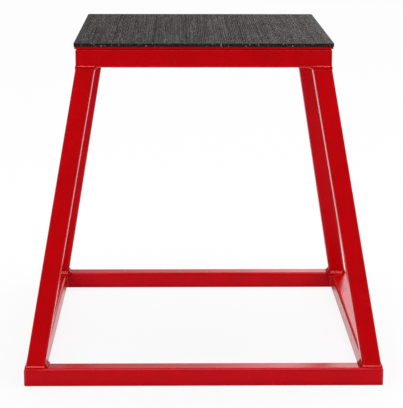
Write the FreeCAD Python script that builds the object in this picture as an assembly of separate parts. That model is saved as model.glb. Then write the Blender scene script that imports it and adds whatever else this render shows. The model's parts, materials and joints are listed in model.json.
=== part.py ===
import FreeCAD, Part
import math
import os

Vector = FreeCAD.Vector

# A plyometric jump box: a splayed frame of welded square tube with a steel deck and a rubber landing mat.
# Millimetres. The origin is on the floor at the centre of the base, +Z is up and the front faces -Y.

# Overall sizes
overall_height = 457.0  # floor to landing surface
base_width = 487.0  # outside of the square base frame
top_width = 343.0  # outside of the square top frame

# Square tube of the rails and legs
tube_side = 25.4
tube_wall = 1.6
tube_corner_radius = 3.6
bore_radius_share = 0.5  # radius inside the tube's corners, as a share of the radius outside

# Legs, whose heads are flush with the top frame
leg_foot_inset = 2.2  # from the outer faces of the base frame to those of a leg

# Deck plate
deck_thickness = 3.0
deck_overhang = 1.3  # past the top frame
deck_corner_radius = 2.5
deck_edge_ease = 0.5  # bevel of the plate's upper edge

# Rubber mat and the adhesive under it
mat_thickness = 4.4
mat_overhang = 0.8  # past the deck plate
mat_corner_radius = 2.0
mat_edge_ease = 0.6  # bevel of the landing surface's edge
adhesive_thickness = 0.3
adhesive_inset = 5.0  # from the edge of the deck plate

# Weld beads round the legs
foot_bead = 4.2  # height on the leg and reach on the base frame
head_bead = 3.8  # height on the leg and reach under the top frame
head_bead_proud = 0.7  # past the outer faces of the top frame
foot_fill_share = 0.4  # depth of the foot weld over the rounded edge of the rails, of that radius
head_fill_share = 0.75  # the same at the head, where the weld fills the groove
# Along a bead, from the rails to the leg: height, reach on the outer side, reach on the inner side
bead_profile_shares = ((0.0, 1.0, 1.0), (0.6, 0.66, 0.72), (1.0, 0.12, 0.16))
bead_corner_steps = 3  # flats round each corner of a bead
foot_reach_share = 0.85  # reach of the foot weld towards the base frame's outer faces

# Seam welds on the outer edges of the mitres, ground flush, and the beads in their inner corners
seam_leg_share = 1.95  # width of the seam weld on each face, as a share of the tube wall
seam_round_share = 0.95  # rounding of its ground edge, as a share of that width
mitre_bead = 3.2  # radius of the bead in the inner corner

# Stitch welds that hold the deck plate to the inner side of the top rails
stitch_length = 30.0
stitch_bead = 4.0  # radius of the bead
stitch_count = 3  # on each rail

overrun = 2.0 * tube_side  # length of every cutting shape past what it cuts

# Levels and places that follow from the sizes above
base_top = tube_side
deck_top = overall_height - mat_thickness - adhesive_thickness
deck_bottom = deck_top - deck_thickness
rail_bottom = deck_bottom - tube_side
deck_width = top_width + 2 * deck_overhang
mat_width = deck_width + 2 * mat_overhang
seam_leg = tube_wall * seam_leg_share
up = Vector(0, 0, 1)
origin = Vector(0, 0, 0)
quarter_turn = 90.0
corner_names = ("rear_right", "rear_left", "front_left", "front_right")
side_names = ("front", "right", "rear", "left")


def rounded_square(side, radius):
    # A closed outline in the XY plane, centred on the origin
    half = side / 2
    flat = half - radius
    bulge = flat + radius * math.sqrt(0.5)
    edges = []
    for quarter in range(4):
        straight = Part.LineSegment(Vector(half, -flat, 0), Vector(half, flat, 0)).toShape()
        corner = Part.Arc(Vector(half, flat, 0), Vector(bulge, bulge, 0), Vector(flat, half, 0)).toShape()
        for edge in (straight, corner):
            edge.rotate(origin, up, quarter * quarter_turn)
            edges.append(edge)
    return Part.Wire(edges)


def slab(side, radius, bottom, thickness):
    # A square sheet with rounded corners
    sheet = Part.Face(rounded_square(side, radius))
    sheet.translate(Vector(0, 0, bottom))
    return sheet.extrude(Vector(0, 0, thickness))


def level_box(bottom, top):
    # Everything between two levels
    reach = base_width + overrun
    return Part.makeBox(reach, reach, top - bottom, Vector(-reach / 2, -reach / 2, bottom))


def tube_section(hollow):
    # The tube's section in the XY plane, centred on the origin
    section = Part.Face(rounded_square(tube_side, tube_corner_radius))
    if not hollow:
        return section
    bore_radius = tube_corner_radius * bore_radius_share
    return section.cut(Part.Face(rounded_square(tube_side - 2 * tube_wall, bore_radius)))


def front_bar(width, bottom, hollow):
    # The front rail of a square frame before its mitres are cut
    bar = tube_section(hollow)
    bar.rotate(origin, Vector(0, 1, 0), quarter_turn)
    bar.translate(Vector(-width / 2, tube_side / 2 - width / 2, bottom + tube_side / 2))
    return bar.extrude(Vector(width, 0, 0))


def flat_face(corners):
    return Part.Face(Part.makePolygon(corners + corners[:1]))


def prism(points, bottom, height):
    # A straight-sided column on a plan outline
    corners = [Vector(x, y, bottom) for x, y in points]
    return flat_face(corners).extrude(Vector(0, 0, height))


def front_rail(width, bottom):
    # Both mitres at once: the front quarter of the plan, less its two tips, which the seam welds fill
    half = width / 2
    tip = half - seam_leg
    plan = ((0, 0), (-half + seam_leg / 2, -half + seam_leg / 2), (-tip, -half), (tip, -half),
            (half - seam_leg / 2, -half + seam_leg / 2))
    return front_bar(width, bottom, True).common(prism(plan, bottom, tube_side))


def turned(shape, quarter):
    copy = shape.copy()
    copy.rotate(origin, up, quarter * quarter_turn)
    return copy


def corner_block(width, bottom):
    # The filled corner where the rear and right rails cross
    rear = turned(front_bar(width, bottom, False), 2)
    right = turned(front_bar(width, bottom, False), 1)
    return rear, right


def mitre_weld(width, bottom):
    # Seam weld on the outer edge of the rear right corner, and the bead in its inner corner
    rear, right = corner_block(width, bottom)
    half = width / 2
    tip = ((half - seam_leg, half), (half, half - seam_leg), (half, half))
    ground = slab(width, seam_leg * seam_round_share, bottom, tube_side)
    seam = rear.common(right).common(prism(tip, bottom, tube_side)).common(ground)
    inner = half - tube_side
    bead_foot = Vector(inner, inner, bottom + tube_corner_radius)
    bead = Part.makeCylinder(mitre_bead, tube_side - 2 * tube_corner_radius, bead_foot)
    return [seam, bead.cut(rear.fuse(right))]


# The rear right leg: its outer edge runs from the base frame to the top frame in the diagonal plane
foot_corner = base_width / 2 - leg_foot_inset
head_corner = top_width / 2
rise = rail_bottom - base_top
lean = math.atan(math.sqrt(2) * (foot_corner - head_corner) / rise)
inward = Vector(-math.sqrt(0.5), -math.sqrt(0.5), 0)
leg_axis = inward * math.sin(lean) + up * math.cos(lean)
leg_outward = up * math.sin(lean) - inward * math.cos(lean)
half_diagonal = tube_side * math.sqrt(0.5)


def leg_bar(hollow):
    # A true square tube on the leaning axis, longer than the leg, one corner of its section outermost
    bar = tube_section(hollow)
    bar.rotate(origin, up, quarter_turn / 2)
    across = leg_axis.cross(leg_outward)
    turn = FreeCAD.Rotation(leg_outward, across, leg_axis, "ZXY")
    foot = Vector(foot_corner, foot_corner, base_top) - leg_outward * half_diagonal
    bar.Placement = FreeCAD.Placement(foot - leg_axis * overrun, turn).multiply(bar.Placement)
    return bar.extrude(leg_axis * (rise / math.cos(lean) + 2 * overrun))


def leg():
    # Both ends are cut level, so that they sit flat on the base frame and under the top frame
    return leg_bar(True).common(level_box(base_top, rail_bottom))


def bead_outline(level, outer_reach, inner_reach):
    # Corners of a bead's outline at one level, standing off the leg's faces by the two reaches
    side = tube_side + outer_reach + inner_reach
    radius = tube_corner_radius + outer_reach
    flat = side / 2 - radius
    follow = foot_corner - (level - base_top) * math.tan(lean) * math.sqrt(0.5)
    centre = follow + outer_reach - side / 2
    points = []
    for quarter, (x_sign, y_sign) in enumerate(((1, 1), (-1, 1), (-1, -1), (1, -1))):
        for step in range(bead_corner_steps + 1):
            angle = math.radians((quarter + step / bead_corner_steps) * quarter_turn)
            x = centre + x_sign * flat + radius * math.cos(angle)
            y = centre + y_sign * flat + radius * math.sin(angle)
            points.append(Vector(x, y, level))
    return points


def skinned(outlines):
    # A solid with flat sides through outlines whose edges are parallel
    faces = [flat_face(outlines[0]), flat_face(outlines[-1])]
    for lower, upper in zip(outlines, outlines[1:]):
        for i in range(len(lower)):
            faces.append(flat_face([lower[i - 1], lower[i], upper[i], upper[i - 1]]))
    return Part.Solid(Part.Shell(faces))


def leg_weld(level, direction, bead, outer_reach, fill_depth, width, bottom):
    # A bead round one end of a leg, seated on the leg and on the two rails of the frame there
    outlines = [bead_outline(level - direction * fill_depth, outer_reach, bead)]
    for height_share, outer_share, inner_share in bead_profile_shares:
        at = level + direction * height_share * bead
        outlines.append(bead_outline(at, outer_share * outer_reach, inner_share * bead))
    body = skinned(outlines)
    rear, right = corner_block(width, bottom)
    return body.cut(leg_bar(False)).cut(rear.fuse(right))


def foot_weld():
    reach = leg_foot_inset * foot_reach_share
    fill = tube_corner_radius * foot_fill_share
    return leg_weld(base_top, 1, foot_bead, reach, fill, base_width, 0)


def head_weld():
    fill = tube_corner_radius * head_fill_share
    return leg_weld(rail_bottom, -1, head_bead, head_bead_proud, fill, top_width, rail_bottom)


def deck_plate():
    plate = slab(deck_width, deck_corner_radius, deck_bottom, deck_thickness)
    rim = [edge for edge in plate.Edges if edge.BoundBox.ZMin > deck_top - deck_edge_ease]
    return plate.makeChamfer(deck_edge_ease, rim)


def rubber_mat():
    mat = slab(mat_width, mat_corner_radius, deck_top + adhesive_thickness, mat_thickness)
    rim = [edge for edge in mat.Edges if edge.BoundBox.ZMin > overall_height - mat_edge_ease]
    return mat.makeChamfer(mat_edge_ease, rim)


def mat_adhesive():
    return slab(deck_width - 2 * adhesive_inset, deck_corner_radius, deck_top, adhesive_thickness)


def front_stitches():
    # Beads in the corner between the front rail's inner face and the underside of the deck plate
    rail = front_bar(top_width, rail_bottom, False)
    under_deck = level_box(rail_bottom, deck_bottom)
    inner_face = tube_side - top_width / 2
    pitch = (top_width - 2 * tube_side) / stitch_count
    stitches = []
    for place in range(stitch_count):
        middle = (place + 0.5 - stitch_count / 2) * pitch
        start = Vector(middle - stitch_length / 2, inner_face, deck_bottom)
        bead = Part.makeCylinder(stitch_bead, stitch_length, start, Vector(1, 0, 0))
        stitches.append(bead.common(under_deck).cut(rail))
    return stitches


def solids_of(shapes):
    return [solid for shape in shapes for solid in shape.Solids]


def write(name, *shapes):
    solids = solids_of(shapes)
    shape = solids[0] if len(solids) == 1 else Part.makeCompound(solids)
    shape.exportStep(f"parts/{name}.step")
    print(name, len(solids), round(shape.Volume), shape.isValid())


os.makedirs("parts", exist_ok=True)
base_rail = front_rail(base_width, 0)
top_rail = front_rail(top_width, rail_bottom)
stitches = front_stitches()
for quarter, name in enumerate(side_names):
    write(f"base_rail_{name}", turned(base_rail, quarter))
    write(f"top_rail_{name}", turned(top_rail, quarter))
    write(f"deck_stitch_welds_{name}", *[turned(stitch, quarter) for stitch in stitches])

corner_pieces = {
    "leg": [leg()],
    "foot_weld": [foot_weld()],
    "head_weld": [head_weld()],
    "base_mitre_weld": mitre_weld(base_width, 0),
    "top_mitre_weld": mitre_weld(top_width, rail_bottom),
}
for piece, shapes in corner_pieces.items():
    for quarter, name in enumerate(corner_names):
        write(f"{piece}_{name}", *[turned(shape, quarter) for shape in shapes])

write("deck_plate", deck_plate())
write("mat_adhesive", mat_adhesive())
write("rubber_mat", rubber_mat())
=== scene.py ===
import json
import math
import random

import bpy
from mathutils import Euler, Matrix, Vector, noise


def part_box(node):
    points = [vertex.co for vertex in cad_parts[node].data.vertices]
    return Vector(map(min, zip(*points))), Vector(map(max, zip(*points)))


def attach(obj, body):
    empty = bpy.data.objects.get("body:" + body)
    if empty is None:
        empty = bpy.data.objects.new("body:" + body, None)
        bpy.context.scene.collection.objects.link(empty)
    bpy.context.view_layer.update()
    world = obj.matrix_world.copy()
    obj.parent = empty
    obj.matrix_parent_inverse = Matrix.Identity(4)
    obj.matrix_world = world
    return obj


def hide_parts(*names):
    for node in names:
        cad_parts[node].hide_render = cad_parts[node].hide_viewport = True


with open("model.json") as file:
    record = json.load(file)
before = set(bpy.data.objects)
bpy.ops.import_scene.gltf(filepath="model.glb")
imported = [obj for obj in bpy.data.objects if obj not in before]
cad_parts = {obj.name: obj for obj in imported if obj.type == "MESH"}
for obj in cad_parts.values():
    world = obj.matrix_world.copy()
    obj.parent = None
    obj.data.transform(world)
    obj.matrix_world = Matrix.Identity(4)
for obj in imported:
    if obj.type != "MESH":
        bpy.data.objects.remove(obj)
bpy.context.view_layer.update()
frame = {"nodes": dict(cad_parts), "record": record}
nodes = frame["nodes"]
quarterTurn = math.pi / 2
sideNames = ("front", "right", "rear", "left")
cornerNames = ("rear_right", "rear_left", "front_left", "front_right")

# places that the frame gives
baseLow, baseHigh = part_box("base_rail_right")
railLow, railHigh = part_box("top_rail_right")
legLow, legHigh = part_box("leg_rear_right")
deckLow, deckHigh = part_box("deck_plate")
matLow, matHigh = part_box("rubber_mat")
tubeSide = baseHigh.z - baseLow.z
baseTop = baseHigh.z
railBottom = railLow.z
footCorner = legHigh.x
headCorner = railHigh.x
legSlope = (footCorner - headCorner) / (railBottom - baseTop)
levelStretch = math.sqrt(1 + 2 * legSlope ** 2)  # a level cut through the leaning leg is longer along its diagonal
print("frame loaded:", len(nodes), "nodes")


def deselectAll():
    for thing in bpy.context.selected_objects:
        thing.select_set(False)


def newMaterial(name):
    material = bpy.data.materials.new(name)
    material.use_nodes = True
    tree = material.node_tree
    tree.nodes.clear()
    output = tree.nodes.new("ShaderNodeOutputMaterial")
    shader = tree.nodes.new("ShaderNodeBsdfPrincipled")
    tree.links.new(shader.outputs["BSDF"], output.inputs["Surface"])
    return material, tree, shader


def addNode(tree, kind, **settings):
    node = tree.nodes.new(kind)
    for name, value in settings.items():
        if name in node.inputs:
            node.inputs[name].default_value = value
        else:
            setattr(node, name, value)
    return node


def objectNoise(tree, scale, detail=2.0, stretch=(1.0, 1.0, 1.0)):
    place = addNode(tree, "ShaderNodeTexCoord")
    mapping = addNode(tree, "ShaderNodeMapping", Scale=stretch)
    texture = addNode(tree, "ShaderNodeTexNoise", Scale=scale, Detail=detail)
    tree.links.new(place.outputs["Object"], mapping.inputs["Vector"])
    tree.links.new(mapping.outputs["Vector"], texture.inputs["Vector"])
    return texture.outputs["Fac"]


def ramp(tree, source, stops, colours):
    node = addNode(tree, "ShaderNodeValToRGB")
    elements = node.color_ramp.elements
    while len(elements) < len(stops):
        elements.new(1.0)
    for element, stop, colour in zip(elements, stops, colours):
        element.position = stop
        element.color = (*colour, 1.0)
    tree.links.new(source, node.inputs["Fac"])
    return node.outputs["Color"]


def spread(tree, source, low, high):
    node = addNode(tree, "ShaderNodeMapRange")
    node.inputs["To Min"].default_value = low
    node.inputs["To Max"].default_value = high
    tree.links.new(source, node.inputs["Value"])
    return node.outputs["Result"]


def addGrain(tree, shader, scale, strength, height, detail=2.0):
    bump = addNode(tree, "ShaderNodeBump", Strength=strength, Distance=height)
    tree.links.new(objectNoise(tree, scale, detail), bump.inputs["Height"])
    tree.links.new(bump.outputs["Normal"], shader.inputs["Normal"])


# red enamel on the tubes, the deck and the welds
enamel = {
    "deep": (0.446, 0.0003, 0.0005),
    "full": (0.496, 0.0004, 0.0008),
    "roughness": (0.22, 0.3),
    "weldRoughness": (0.07, 0.14),
    "index": 1.5,
    "weldIndex": 1.8,
    "tint": (1.0, 0.16, 0.29),  # of what the coat mirrors face on; it mirrors white at a low angle
    "weldTint": (1.0, 0.26, 0.28),
    "cloudScale": 24.0,  # faint cloudiness of the colour
    "cloudDetail": 3.0,
    "cloudStops": (0.32, 0.68),
    "glossScale": 55.0,
    "peelScale": 700.0,  # orange peel of the sprayed coat
    "peelHeight": 0.00002,
}


def makeEnamel(name, roughness, index, tint):
    material, tree, shader = newMaterial(name)
    cloud = objectNoise(tree, enamel["cloudScale"], enamel["cloudDetail"])
    tone = ramp(tree, cloud, enamel["cloudStops"], (enamel["deep"], enamel["full"]))
    tree.links.new(tone, shader.inputs["Base Color"])
    gloss = spread(tree, objectNoise(tree, enamel["glossScale"]), *roughness)
    tree.links.new(gloss, shader.inputs["Roughness"])
    addGrain(tree, shader, enamel["peelScale"], 1.0, enamel["peelHeight"], 1.0)
    shader.inputs["IOR"].default_value = index
    shader.inputs["Specular Tint"].default_value = (*tint, 1.0)
    return material


frameEnamel = makeEnamel("frameEnamel", enamel["roughness"], enamel["index"], enamel["tint"])
weldEnamel = makeEnamel("weldEnamel", enamel["weldRoughness"], enamel["weldIndex"], enamel["weldTint"])
deckEnamel = makeEnamel("deckEnamel", enamel["roughness"], enamel["index"], enamel["tint"])

# dark contact adhesive between the deck and the mat
contactAdhesive = {
    "tones": ((0.03, 0.026, 0.022), (0.07, 0.062, 0.052)),
    "patchScale": 120.0,
    "patchStops": (0.35, 0.7),
    "roughness": 0.6,
}
adhesive, adhesiveTree, adhesiveShader = newMaterial("contactAdhesive")
adhesivePatch = objectNoise(adhesiveTree, contactAdhesive["patchScale"])
adhesiveTone = ramp(adhesiveTree, adhesivePatch, contactAdhesive["patchStops"], contactAdhesive["tones"])
adhesiveTree.links.new(adhesiveTone, adhesiveShader.inputs["Base Color"])
adhesiveShader.inputs["Roughness"].default_value = contactAdhesive["roughness"]

slotMaterials = {
    "frame_enamel": frameEnamel,
    "weld_enamel": weldEnamel,
    "deck_enamel": deckEnamel,
    "adhesive": adhesive,
}
for subpart in frame["record"]["subparts"]:
    material = slotMaterials.get(subpart["material_slot"])
    if material:
        nodes[subpart["node"]].data.materials.clear()
        nodes[subpart["node"]].data.materials.append(material)
print("enamel on the frame")

# rubber landing mat: uneven fine ribs from front to rear, a few deeper grooves and rough cut edges
landingMat = {
    "border": 0.005,  # smooth rim round the ribs
    "borderSteps": (0.0006, 0.0014, 0.0026),
    "ribPitch": (0.0020, 0.0034),
    "ribDepth": (0.0002, 0.0006),
    "ribSection": ((0.0, 1.0), (0.2, 0.4), (0.5, 0.0), (0.8, 0.4)),  # share of the pitch, share of the depth
    "grooves": (-0.1455, -0.1225, -0.0675, -0.0230, 0.0530),
    "grooveWidth": 0.0013,
    "grooveDepth": 0.0010,
    "rows": 80,
    "cornerRadius": 0.002,
    "rimSteps": ((0.0006, 0.0), (0.0002, 0.0002), (0.0, 0.0006)),  # in from the edge, down from the top
    "edgeRows": 4,
    "edgeRoughness": 0.00025,  # the cut edge is a little ragged, below its rounded top
    "edgeScale": 900.0,
    "edgeTop": 0.0008,
    "patch": (260.0, 45.0, 3.0),  # uneven wear of the ribs: scale across and along, and its seed
    "patchShare": 0.7,
    "smoothAngle": 35.0,
    "seed": 11,
}


def matColumns(half):
    # places across the mat with the depth of each below the landing surface
    pick = random.Random(landingMat["seed"])
    inner = half - landingMat["border"]
    rim = [-half] + [step - half for step in landingMat["borderSteps"]]
    columns = [(x, 0.0) for x in rim]
    start = -inner
    while start < inner - landingMat["ribPitch"][1]:
        pitch = pick.uniform(*landingMat["ribPitch"])
        depth = pick.uniform(*landingMat["ribDepth"])
        columns += [(start + share * pitch, drop * depth) for share, drop in landingMat["ribSection"]]
        start += pitch
    columns += [(-x, 0.0) for x in reversed(rim)]
    return [(x, max([depth] + [landingMat["grooveDepth"] for groove in landingMat["grooves"]
                               if abs(x - groove) < landingMat["grooveWidth"] / 2])) for x, depth in columns]


def matRows(half):
    rim = [-half] + [step - half for step in landingMat["borderSteps"]]
    inner = half - landingMat["border"]
    count = landingMat["rows"]
    return rim + [inner * (2 * i / count - 1) for i in range(count + 1)] + [-y for y in reversed(rim)]


def roundCorner(x, y, half):
    radius = landingMat["cornerRadius"]
    dx, dy = abs(x) - (half - radius), abs(y) - (half - radius)
    if dx <= 0 or dy <= 0 or math.hypot(dx, dy) <= radius:
        return x, y
    pull = radius / math.hypot(dx, dy)
    return math.copysign(half - radius + dx * pull, x), math.copysign(half - radius + dy * pull, y)


def makeMat():
    half = matHigh.x
    rimIn = landingMat["rimSteps"][0][0]
    columns, rows = matColumns(half - rimIn), matRows(half - rimIn)
    deselectAll()
    bpy.ops.mesh.primitive_grid_add(x_subdivisions=len(columns) - 1, y_subdivisions=len(rows) - 1, size=2.0)
    mat = bpy.context.object
    mat.name = "rubberMat"
    inner = half - rimIn - landingMat["border"]
    for vertex in mat.data.vertices:
        x, depth = columns[round((vertex.co.x + 1) / 2 * (len(columns) - 1))]
        y = rows[round((vertex.co.y + 1) / 2 * (len(rows) - 1))]
        if abs(y) > inner - 1e-6:
            depth = 0.0
        across, along, seed = landingMat["patch"]
        patch = noise.noise(Vector((x * across, y * along, seed)))
        depth *= 1.0 + landingMat["patchShare"] * patch
        x, y = roundCorner(x, y, half - rimIn)
        vertex.co = (x, y, matHigh.z - max(depth, 0.0))
    bpy.ops.object.mode_set(mode="EDIT")
    bpy.ops.mesh.select_mode(type="EDGE")
    bpy.ops.mesh.select_all(action="SELECT")
    bpy.ops.mesh.region_to_loop()
    before = landingMat["rimSteps"][0]
    wall = matHigh.z - matLow.z - landingMat["rimSteps"][-1][1]
    count = landingMat["edgeRows"]
    walls = [(0.0, landingMat["rimSteps"][-1][1] + wall * (i + 1) / count) for i in range(count)]
    for step in list(landingMat["rimSteps"][1:]) + walls:
        bpy.ops.mesh.extrude_edges_move(TRANSFORM_OT_translate={"value": (0.0, 0.0, before[1] - step[1])})
        grow = (half - step[0]) / (half - before[0])
        bpy.ops.transform.resize(value=(grow, grow, 1.0), center_override=(0.0, 0.0, 0.0))
        before = step
    bpy.ops.mesh.edge_face_add()
    bpy.ops.mesh.select_all(action="SELECT")
    bpy.ops.mesh.normals_make_consistent(inside=False)
    bpy.ops.object.mode_set(mode="OBJECT")
    for vertex in mat.data.vertices:
        if matLow.z + 1e-5 < vertex.co.z < matHigh.z - landingMat["edgeTop"]:
            rough = 0.5 + 0.5 * noise.noise(vertex.co * landingMat["edgeScale"])
            shrink = 1.0 - rough * landingMat["edgeRoughness"] / half
            vertex.co = (vertex.co.x * shrink, vertex.co.y * shrink, vertex.co.z)
    bpy.ops.object.shade_smooth_by_angle(angle=math.radians(landingMat["smoothAngle"]))
    return mat


rubber = {
    "dark": (0.008, 0.0072, 0.0070),
    "mid": (0.0185, 0.0156, 0.0144),
    "pale": (0.098, 0.0828, 0.0772),
    "rimDark": (0.028, 0.030, 0.032),
    "rimPale": (0.042, 0.044, 0.047),
    "roughness": (0.42, 0.55),
    "specular": 0.014,
    "longStreak": ((620.0, 5.0, 60.0), 0.27),  # scale of the pattern and its share
    "shortStreak": ((640.0, 120.0, 60.0), 0.65),
    "patch": ((26.0, 14.0, 30.0), 0.08),
    "streakStops": (0.4, 0.49, 0.6),
    "grooveShade": 0.12,  # painted shade: tone left at the bottom of a groove
    "grain": (1400.0, 0.6, 0.0001),  # scale, strength and height of the bump
    "rimScale": 240.0,
    "rimGlossScale": 90.0,
    "cutScale": 300.0,
    "patchStops": (0.35, 0.65),
    "cutDark": (0.005, 0.0045, 0.004),
    "cutPale": (0.016, 0.0145, 0.0135),
    "cutRoughness": 0.75,
    "cutSpecular": 0.12,
    "cutGrain": (900.0, 0.7, 0.0002),
    "crumb": (0.2, 0.185, 0.175),
    "crumbScale": 420.0,
    "crumbStops": (0.71, 0.76),
}


def blendTone(tree, first, second, share):
    node = addNode(tree, "ShaderNodeMix", data_type="RGBA")
    tree.links.new(share, node.inputs["Factor"])
    for name, value in (("A", first), ("B", second)):
        socket = next(s for s in node.inputs if s.name == name and s.type == "RGBA")
        if isinstance(value, tuple):
            socket.default_value = (*value, 1.0)
        else:
            tree.links.new(value, socket)
    return next(s for s in node.outputs if s.type == "RGBA")


def makeRubber():
    material, tree, shader = newMaterial("matRubber")
    streaks = None
    for pattern in ("longStreak", "shortStreak", "patch"):
        stretch, share = rubber[pattern]
        layer = addNode(tree, "ShaderNodeMath", operation="MULTIPLY_ADD")
        tree.links.new(objectNoise(tree, 1.0, 2.0, stretch), layer.inputs[0])
        layer.inputs[1].default_value = share
        layer.inputs[2].default_value = 0.0
        if streaks:
            tree.links.new(streaks, layer.inputs[2])
        streaks = layer.outputs["Value"]
    tone = ramp(tree, streaks, rubber["streakStops"], (rubber["dark"], rubber["mid"], rubber["pale"]))
    place = addNode(tree, "ShaderNodeTexCoord")
    axes = addNode(tree, "ShaderNodeSeparateXYZ")
    tree.links.new(place.outputs["Object"], axes.inputs["Vector"])
    # painted shade: the rubber darkens towards the bottom of the grooves and of the deepest ribs
    height = addNode(tree, "ShaderNodeMapRange")
    height.inputs["From Min"].default_value = matHigh.z - landingMat["grooveDepth"]
    height.inputs["From Max"].default_value = matHigh.z - landingMat["grooveDepth"] / 3
    height.inputs["To Min"].default_value = rubber["grooveShade"]
    tree.links.new(axes.outputs["Z"], height.inputs["Value"])
    tone = blendTone(tree, rubber["dark"], tone, height.outputs["Result"])
    tree.links.new(tone, shader.inputs["Base Color"])
    tree.links.new(spread(tree, streaks, *rubber["roughness"]), shader.inputs["Roughness"])
    addGrain(tree, shader, *rubber["grain"])
    shader.inputs["Specular IOR Level"].default_value = rubber["specular"]
    return material


def makeRim():
    material, tree, shader = newMaterial("matRim")
    patch = objectNoise(tree, rubber["rimScale"])
    tone = ramp(tree, patch, rubber["patchStops"], (rubber["rimDark"], rubber["rimPale"]))
    tree.links.new(tone, shader.inputs["Base Color"])
    gloss = spread(tree, objectNoise(tree, rubber["rimGlossScale"]), *rubber["roughness"])
    tree.links.new(gloss, shader.inputs["Roughness"])
    shader.inputs["Specular IOR Level"].default_value = rubber["specular"]
    return material


def makeCutEdge():
    material, tree, shader = newMaterial("matCutEdge")
    patch = objectNoise(tree, rubber["cutScale"])
    tone = ramp(tree, patch, rubber["patchStops"], (rubber["cutDark"], rubber["cutPale"]))
    crumbs = ramp(tree, objectNoise(tree, rubber["crumbScale"], 0.0), rubber["crumbStops"], ((0.0,) * 3, (1.0,) * 3))
    tree.links.new(blendTone(tree, tone, rubber["crumb"], crumbs), shader.inputs["Base Color"])
    addGrain(tree, shader, *rubber["cutGrain"])
    shader.inputs["Roughness"].default_value = rubber["cutRoughness"]
    shader.inputs["Specular IOR Level"].default_value = rubber["cutSpecular"]
    return material


mat = makeMat()
mat.data.materials.append(makeRubber())
mat.data.materials.append(makeCutEdge())
mat.data.materials.append(makeRim())
ribbed = matHigh.x - landingMat["border"]
for face in mat.data.polygons:
    onTop = 0 if max(abs(face.center.x), abs(face.center.y)) < ribbed else 2
    face.material_index = onTop if face.normal.z > 0.5 else 1
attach(mat, "root")
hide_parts("rubber_mat")
print("mat:", len(mat.data.polygons), "faces")

# weld beads: rippled runs in the corners between the tubes
weldRipple = {
    "pitch": 0.0021,
    "swing": 0.2,  # share of the bead's size
    "crescent": 0.45,  # how far each ripple trails at the bead's edges, in pitches
    "wander": 0.32,  # slow change of the bead's size
    "wanderScale": 170.0,
    "wanderPhase": 0.8,  # how far the wander shifts the ripples, in pitches
    "meanCrest": 0.8,
    "seedStep": 7.3,
    "innerShare": 0.5,  # of the ripple, on the sides that face inwards
    "crown": 0.82,  # hollow inside, full outside
    "crownGain": 0.48,
    "bury": 0.0007,
    "ringSteps": (400, 16),
    "runSteps": (72, 20),
    "runEnd": 8,  # how blunt the ends of a straight run are
}
footBead = {
    "innerHeight": 0.0056,
    "outerHeight": 0.0034,
    "innerReach": 0.0054,
    "outerReach": 0.0016,
    "innerToe": 0.0006,
    "outerToe": 0.0019,
    "plumb": 0.6,
    "seed": 1,
}
headBead = {
    "innerHeight": 0.0046,
    "outerHeight": 0.0034,
    "innerReach": 0.0046,
    "outerReach": 0.0010,
    "innerToe": 0.0006,
    "outerToe": 0.0028,
    "plumb": 0.25,
    "seed": 5,
}
tubeCorner = 0.0036


def legOutline(share, level):
    # point on the leg's outline at a level, with the outward direction there
    half = tubeSide / 2
    flat = half - tubeCorner
    quarter = 2 * flat + tubeCorner * quarterTurn
    side, run = divmod(share * 4 * quarter, quarter)
    if run < 2 * flat:
        point, outward = Vector((half, run - flat)), Vector((1.0, 0.0))
    else:
        outward = Vector((1.0, 0.0))
        outward.rotate(Matrix.Rotation((run - 2 * flat) / tubeCorner, 2))
        point = Vector((flat, flat)) + outward * tubeCorner
    turn = Matrix.Rotation(side * quarterTurn, 2)
    point, outward = turn @ point, turn @ outward
    diagonal = Vector((1.0, 1.0)).normalized()
    point += diagonal * point.dot(diagonal) * (levelStretch - 1)
    centre = footCorner - (level - baseTop) * legSlope - half * levelStretch
    return point + Vector((centre, centre)), outward, 4 * quarter


def rippleAt(run, section, seed):
    # size of a bead at a place along it: rounded crests, sharp valleys, and a slow wander
    slow = noise.noise(Vector((run * weldRipple["wanderScale"], seed * weldRipple["seedStep"], 0.0)))
    phase = run / weldRipple["pitch"] + weldRipple["crescent"] * math.sin(section) ** 2
    phase += weldRipple["wanderPhase"] * slow
    crest = abs(math.sin(math.pi * phase))
    return 1.0 + weldRipple["swing"] * (crest - weldRipple["meanCrest"]) + weldRipple["wander"] * slow


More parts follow.
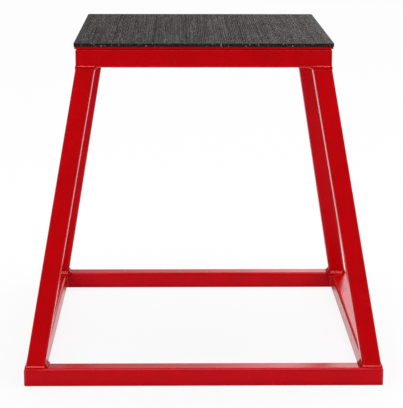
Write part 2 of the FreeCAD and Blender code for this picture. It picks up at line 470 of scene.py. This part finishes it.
def makeLegBead(name, bead, level, away, quarter, seed):
    # a ring round one end of a leg: away is 1 up from the base frame and -1 down from the top frame
    deselectAll()
    steps = weldRipple["ringSteps"]
    bpy.ops.mesh.primitive_torus_add(
        major_segments=steps[0], minor_segments=steps[1], major_radius=1.0, minor_radius=0.25
    )
    ring = bpy.context.object
    ring.name = name
    turn = Matrix.Rotation(quarter * quarterTurn, 3, "Z")
    for vertex in ring.data.vertices:
        share = math.atan2(vertex.co.y, vertex.co.x) / (2 * math.pi) % 1.0
        section = math.atan2(vertex.co.z, math.hypot(vertex.co.x, vertex.co.y) - 1.0)
        outward, perimeter = legOutline(share, level)[1:]
        outer = max(outward.x, outward.y, 0.0)
        height, reach, toe = (
            bead["inner" + part] + (bead["outer" + part] - bead["inner" + part]) * outer
            for part in ("Height", "Reach", "Toe")
        )
        weight = weldRipple["innerShare"] + (1.0 - weldRipple["innerShare"]) * outer
        size = 1.0 + (rippleAt(share * perimeter, section * 2, seed) - 1.0) * weight
        out, rise = math.cos(section), math.sin(section)
        if out > 0 and rise > 0:
            crown = weldRipple["crown"] + weldRipple["crownGain"] * outer
            swell = (out**crown + rise**crown) ** (-1 / crown)
            out, rise = out * swell * size, rise * swell * size
        elif out > 0:  # the toe goes down plumb to the rounded edge of the rail
            plumb = bead["plumb"] * outer
            out, rise = out ** (1 - plumb) * size, -abs(rise) ** (1 - plumb / 2)
        out *= reach if out > 0 else weldRipple["bury"]
        rise *= height if rise > 0 else toe
        point = legOutline(share, level + away * rise)[0] + outward * out
        vertex.co = turn @ Vector((point.x, point.y, level + away * rise))
    bpy.ops.object.mode_set(mode="EDIT")
    bpy.ops.mesh.select_all(action="SELECT")
    bpy.ops.mesh.normals_make_consistent(inside=False)
    bpy.ops.object.mode_set(mode="OBJECT")
    bpy.ops.object.shade_smooth()
    ring.data.materials.append(weldEnamel)
    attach(ring, "root")
    return ring


for quarter, corner in enumerate(cornerNames):
    foot = makeLegBead(f"footBead_{corner}", footBead, baseTop, 1, quarter, quarter + footBead["seed"])
    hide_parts(f"foot_weld_{corner}")
    head = makeLegBead(f"headBead_{corner}", headBead, railBottom, -1, quarter, quarter + headBead["seed"])
    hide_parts(f"head_weld_{corner}")
print("leg beads laid")

mitreBead = {"radius": 0.0033, "endTrim": 0.0022, "seed": 11}
stitchBead = {"radius": 0.0040, "length": 0.030, "count": 3, "seed": 21}


def makeRun(name, start, end, radius, seed):
    # a straight bead with rounded ends
    deselectAll()
    steps = weldRipple["runSteps"]
    bpy.ops.mesh.primitive_uv_sphere_add(segments=steps[1], ring_count=steps[0], radius=1.0)
    run = bpy.context.object
    run.name = name
    axis = end - start
    turn = axis.to_track_quat("Z", "Y").to_matrix()
    for vertex in run.data.vertices:
        x, y, z = vertex.co
        along = math.asin(max(-1.0, min(1.0, z))) / quarterTurn
        around = math.atan2(y, x)
        width = radius * (1.0 - abs(along) ** weldRipple["runEnd"]) ** 0.5 if abs(along) < 1.0 else 0.0
        width *= rippleAt((along + 1) / 2 * axis.length, around, seed)
        spot = Vector((width * math.cos(around), width * math.sin(around), along * axis.length / 2))
        vertex.co = (start + end) / 2 + turn @ spot
    bpy.ops.object.shade_smooth()
    run.data.materials.append(weldEnamel)
    return run


innerBase = baseHigh.x - tubeSide
innerTop = headCorner - tubeSide
for quarter, corner in enumerate(cornerNames):
    turn = Matrix.Rotation(quarter * quarterTurn, 3, "Z")
    for frameName, inner, low in (("base", innerBase, baseLow.z), ("top", innerTop, railLow.z)):
        start = turn @ Vector((inner, inner, low + mitreBead["endTrim"]))
        end = turn @ Vector((inner, inner, low + tubeSide - mitreBead["endTrim"]))
        run = makeRun(f"{frameName}MitreBead_{corner}", start, end, mitreBead["radius"], quarter + mitreBead["seed"])
        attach(run, "root")
for quarter, side in enumerate(sideNames):
    turn = Matrix.Rotation(quarter * quarterTurn, 3, "Z")
    pitch = 2 * innerTop / stitchBead["count"]
    runs = []
    for place in range(stitchBead["count"]):
        middle = (place + 0.5 - stitchBead["count"] / 2) * pitch
        start = turn @ Vector((middle - stitchBead["length"] / 2, -innerTop, deckLow.z))
        end = turn @ Vector((middle + stitchBead["length"] / 2, -innerTop, deckLow.z))
        seed = quarter * stitchBead["count"] + place + stitchBead["seed"]
        runs.append(makeRun(f"stitchBead_{side}_{place}", start, end, stitchBead["radius"], seed))
    deselectAll()
    for run in runs:
        run.select_set(True)
    bpy.context.view_layer.objects.active = runs[0]
    bpy.ops.object.join()
    runs[0].name = f"stitchBeads_{side}"
    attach(runs[0], "root")
    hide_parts(f"deck_stitch_welds_{side}")
print("mitre and stitch beads laid")

# studio: pale floor, white surroundings, soft light from above and from the camera's side
studio = {
    "white": 0.955,
    "ambient": 0.5,
    "floorReach": 14.0,
    "floorTone": 0.8,
    "floorWhite": 0.995,
    "floorShare": (0.86, 0.96),  # share of the floor's look that takes no shadow, near the box and far off
    "shadowReach": (0.35, 0.9),
    "mirrorReach": 1.0,
    # the floor in reflections, over that reach in front of the box and behind it: white, with shade along the rails
    "mirrorFloor": (0.2, 0.28, 0.366, 0.376, 0.39, 0.597, 0.606, 0.63),
    "mirrorTone": (0.0, 1.0, 1.0, 0.25, 1.0, 1.0, 0.3, 1.0),
    "mirrorEdge": (0.35, 0.9),
    "mirrorTop": (0.7, 0.9),
    "mirrorLeft": (-0.14, 0.08),  # the backdrop is dim low down on the left
    "mirrorLow": (0.27, 0.36),
    "mirrorDim": 0.06,
    "topLight": {
        "place": (0.3, 0.4, 2.6),
        "aim": (0.0, 0.0, 0.3),
        "size": 3.0,
        "watts": 62.0,
        "lights": True,
        "mirrored": False,
    },
    "leftLight": {
        "place": (-5.0, -3.5, 2.0),
        "aim": (0.0, 0.0, 0.25),
        "size": 2.5,
        "watts": 118.0,
        "lights": True,
        "mirrored": False,
    },
    "rightLight": {
        "place": (5.0, -3.5, 2.0),
        "aim": (0.0, 0.0, 0.25),
        "size": 2.5,
        "watts": 104.0,
        "lights": True,
        "mirrored": False,
    },
    "glintLight": {
        "place": (-0.1, -1.3, 2.6),
        "aim": (0.0, -0.2, 0.25),
        "size": 2.4,
        "watts": 95.0,
        "lights": False,
        "mirrored": True,
    },
    "backLight": {
        "place": (1.1, 4.2, 2.0),
        "aim": (0.0, 0.0, 0.1),
        "size": 1.6,
        "watts": 12.5,
        "lights": True,
        "mirrored": True,
    },
}


def addLight(name, values):
    lamp = bpy.data.lights.new(name, "AREA")
    lamp.size = values["size"]
    lamp.energy = values["watts"]
    light = bpy.data.objects.new(name, lamp)
    bpy.context.scene.collection.objects.link(light)
    place, aim = Vector(values["place"]), Vector(values["aim"])
    light.location = place
    light.rotation_euler = (aim - place).to_track_quat("-Z", "Y").to_euler()
    light.visible_diffuse = values["lights"]
    light.visible_glossy = values["mirrored"]
    light.visible_camera = False
    return light


def rayIs(tree, *kinds):
    path = addNode(tree, "ShaderNodeLightPath")
    total = path.outputs[kinds[0]]
    for kind in kinds[1:]:
        larger = addNode(tree, "ShaderNodeMath", operation="MAXIMUM")
        tree.links.new(total, larger.inputs[0])
        tree.links.new(path.outputs[kind], larger.inputs[1])
        total = larger.outputs["Value"]
    return total


for name in ("topLight", "leftLight", "rightLight", "glintLight", "backLight"):
    addLight(name, studio[name])

world = bpy.data.worlds.new("studio")
bpy.context.scene.world = world
world.use_nodes = True
sky = world.node_tree
sky.nodes.clear()
skyOutput = addNode(sky, "ShaderNodeOutputWorld")
skyMix = addNode(sky, "ShaderNodeMixShader")
skySeen = addNode(sky, "ShaderNodeMixShader")
plainSky = addNode(sky, "ShaderNodeBackground", Strength=studio["ambient"])
plainSky.inputs["Color"].default_value = (1.0, 1.0, 1.0, 1.0)
whiteSky = addNode(sky, "ShaderNodeBackground", Strength=studio["white"])
whiteSky.inputs["Color"].default_value = (1.0, 1.0, 1.0, 1.0)
mirrorSky = addNode(sky, "ShaderNodeBackground", Strength=1.0)
direction = addNode(sky, "ShaderNodeTexCoord")
axes = addNode(sky, "ShaderNodeSeparateXYZ")
sky.links.new(direction.outputs["Generated"], axes.inputs["Vector"])


def skyRange(value, low, high, toLow, toHigh):
    node = addNode(sky, "ShaderNodeMapRange", interpolation_type="SMOOTHSTEP")
    for name, number in (("From Min", low), ("From Max", high), ("To Min", toLow), ("To Max", toHigh)):
        node.inputs[name].default_value = number
    sky.links.new(value, node.inputs["Value"])
    return node.outputs["Result"]


def skyMath(operation, first, second=None):
    node = addNode(sky, "ShaderNodeMath", operation=operation)
    for socket, value in zip(node.inputs, (first, second)):
        if isinstance(value, float):
            socket.default_value = value
        elif value:
            sky.links.new(value, socket)
    return node.outputs["Value"]


# in reflections: a white backdrop behind the box and a dark studio round it
depth = skyMath("MAXIMUM", axes.outputs["Y"], 0.001)
sideways = skyMath("DIVIDE", axes.outputs["X"], depth)
glow = skyRange(skyMath("ABSOLUTE", sideways), *studio["mirrorEdge"], studio["white"], 0.0)
glow = skyMath("MULTIPLY", glow, skyRange(axes.outputs["Z"], *studio["mirrorTop"], 1.0, 0.0))
lowGlow = skyRange(axes.outputs["Z"], *studio["mirrorLow"], studio["mirrorDim"], 1.0)
lowGlow = skyMath("MAXIMUM", lowGlow, skyRange(sideways, *studio["mirrorLeft"], 0.0, 1.0))
glow = skyMath("MULTIPLY", glow, lowGlow)
sky.links.new(glow, mirrorSky.inputs["Strength"])
mirrorSky.inputs["Color"].default_value = (1.0, 1.0, 1.0, 1.0)
sky.links.new(rayIs(sky, "Is Glossy Ray", "Is Transmission Ray"), skyMix.inputs["Fac"])
sky.links.new(plainSky.outputs["Background"], skyMix.inputs[1])
sky.links.new(mirrorSky.outputs["Background"], skyMix.inputs[2])
sky.links.new(rayIs(sky, "Is Camera Ray"), skySeen.inputs["Fac"])
sky.links.new(skyMix.outputs["Shader"], skySeen.inputs[1])
sky.links.new(whiteSky.outputs["Background"], skySeen.inputs[2])
sky.links.new(skySeen.outputs["Shader"], skyOutput.inputs["Surface"])

deselectAll()
bpy.ops.mesh.primitive_plane_add(size=studio["floorReach"], location=(0.0, 0.0, 0.0))
floor = bpy.context.object
floor.name = "studioFloor"
floorMaterial = bpy.data.materials.new("studioFloor")
floorMaterial.use_nodes = True
floorTree = floorMaterial.node_tree
floorTree.nodes.clear()
floorOutput = addNode(floorTree, "ShaderNodeOutputMaterial")
floorShade = addNode(floorTree, "ShaderNodeBsdfDiffuse")
floorShade.inputs["Color"].default_value = (studio["floorTone"],) * 3 + (1.0,)
floorGlow = addNode(floorTree, "ShaderNodeEmission", Strength=1.0)
floorMix = addNode(floorTree, "ShaderNodeMixShader")
floorPlace = addNode(floorTree, "ShaderNodeTexCoord")
floorDistance = addNode(floorTree, "ShaderNodeVectorMath", operation="LENGTH")
floorTree.links.new(floorPlace.outputs["Object"], floorDistance.inputs[0])
floorFade = addNode(floorTree, "ShaderNodeMapRange", interpolation_type="SMOOTHSTEP")  # shadow only near the box
floorFade.inputs["From Min"].default_value = studio["shadowReach"][0]
floorFade.inputs["From Max"].default_value = studio["shadowReach"][1]
floorFade.inputs["To Min"].default_value = studio["floorShare"][0]
floorFade.inputs["To Max"].default_value = studio["floorShare"][1]
floorTree.links.new(floorDistance.outputs["Value"], floorFade.inputs["Value"])
floorSeen = addNode(floorTree, "ShaderNodeMath", operation="MULTIPLY_ADD")
floorTree.links.new(rayIs(floorTree, "Is Camera Ray"), floorSeen.inputs[0])
floorTree.links.new(floorFade.outputs["Result"], floorSeen.inputs[1])
floorTree.links.new(rayIs(floorTree, "Is Glossy Ray", "Is Transmission Ray"), floorSeen.inputs[2])
floorTree.links.new(floorSeen.outputs["Value"], floorMix.inputs["Fac"])
floorAxes = addNode(floorTree, "ShaderNodeSeparateXYZ")
floorTree.links.new(floorPlace.outputs["Object"], floorAxes.inputs["Vector"])
mirrorDepth = addNode(floorTree, "ShaderNodeMapRange")  # in reflections the floor is dim in front of the box
mirrorDepth.inputs["From Min"].default_value = -studio["mirrorReach"]
mirrorDepth.inputs["From Max"].default_value = studio["mirrorReach"]
floorTree.links.new(floorAxes.outputs["Y"], mirrorDepth.inputs["Value"])
mirrorColours = [(tone,) * 3 for tone in studio["mirrorTone"]]
mirrorTone = ramp(floorTree, mirrorDepth.outputs["Result"], studio["mirrorFloor"], mirrorColours)
floorColour = addNode(floorTree, "ShaderNodeMix", data_type="RGBA")
floorTree.links.new(rayIs(floorTree, "Is Camera Ray"), floorColour.inputs["Factor"])
floorTree.links.new(mirrorTone, floorColour.inputs["A"])
floorColour.inputs["B"].default_value = (studio["floorWhite"],) * 3 + (1.0,)
floorTree.links.new(floorColour.outputs["Result"], floorGlow.inputs["Color"])
floorTree.links.new(floorShade.outputs["BSDF"], floorMix.inputs[1])
floorTree.links.new(floorGlow.outputs["Emission"], floorMix.inputs[2])
floorTree.links.new(floorMix.outputs["Shader"], floorOutput.inputs["Surface"])
floor.data.materials.append(floorMaterial)
bpy.context.scene.view_settings.view_transform = "Standard"
print("studio set")

# camera at the photograph's viewpoint
photoCamera = {
    "place": (-0.0355, -2.1581, 0.7194),
    "pitch": -13.647,
    "turn": -0.943,
    "roll": 0.154,
    "lens": 132.235,
    "sensor": 36.0,
}
lensData = bpy.data.cameras.new("photoCamera")
lensData.lens = photoCamera["lens"]
lensData.sensor_width = photoCamera["sensor"]
camera = bpy.data.objects.new("photoCamera", lensData)
bpy.context.scene.collection.objects.link(camera)
look = Euler((quarterTurn + math.radians(photoCamera["pitch"]), 0.0, math.radians(photoCamera["turn"]))).to_matrix()
look = look @ Matrix.Rotation(math.radians(photoCamera["roll"]), 3, "Z")
camera.matrix_world = Matrix.Translation(photoCamera["place"]) @ look.to_4x4()
bpy.context.scene.camera = camera
print("camera set")
